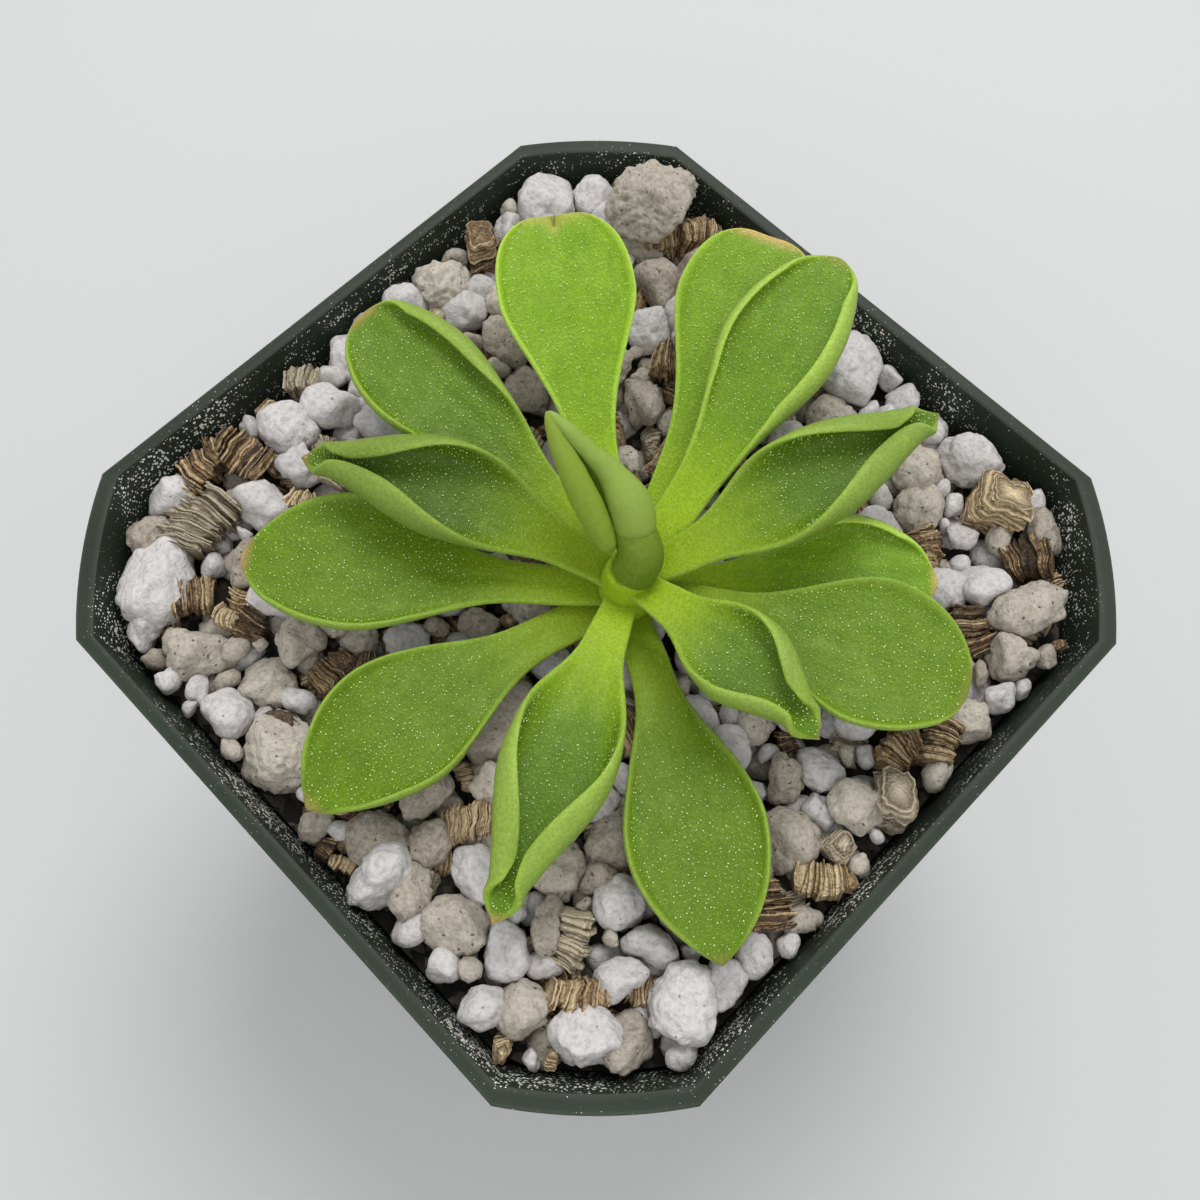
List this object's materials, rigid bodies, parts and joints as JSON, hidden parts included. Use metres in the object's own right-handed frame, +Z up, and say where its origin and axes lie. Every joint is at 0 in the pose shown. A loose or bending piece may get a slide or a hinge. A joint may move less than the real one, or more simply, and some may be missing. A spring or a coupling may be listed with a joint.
{
  "type": "potted butterwort",
  "caption": "Rosette of broad fleshy butterwort leaves with curled margins, in a square nursery pot with cut corners, filled with coarse mineral grit.",
  "frame": {"origin": "middle of the pot's underside, on the plane it stands on", "axes": "+Z up, with the pot's four flat sides facing +X, -X, +Y and -Y"},
  "size_m": [0.088, 0.088, 0.0975],
  "materials": {
    "pot_plastic": "injection-moulded dark green polypropylene, semi-matt",
    "mineral_grit": "dry mix of perlite, pumice and expanded vermiculite",
    "crown_green": null,
    "leaf_green": null
  },
  "bodies": {
    "root": {"pot": "pot_plastic", "bed": "mineral_grit", "crown": "crown_green", "leaf_01": "leaf_green", "leaf_02": "leaf_green", "leaf_03": "leaf_green", "leaf_04": "leaf_green", "leaf_05": "leaf_green", "leaf_06": "leaf_green", "leaf_07": "leaf_green", "leaf_08": "leaf_green", "leaf_09": "leaf_green", "leaf_10": "leaf_green", "leaf_11": "leaf_green", "leaf_12": "leaf_green", "leaf_13": "leaf_green", "young_leaf": "leaf_green"}
  },
  "joints": []
}
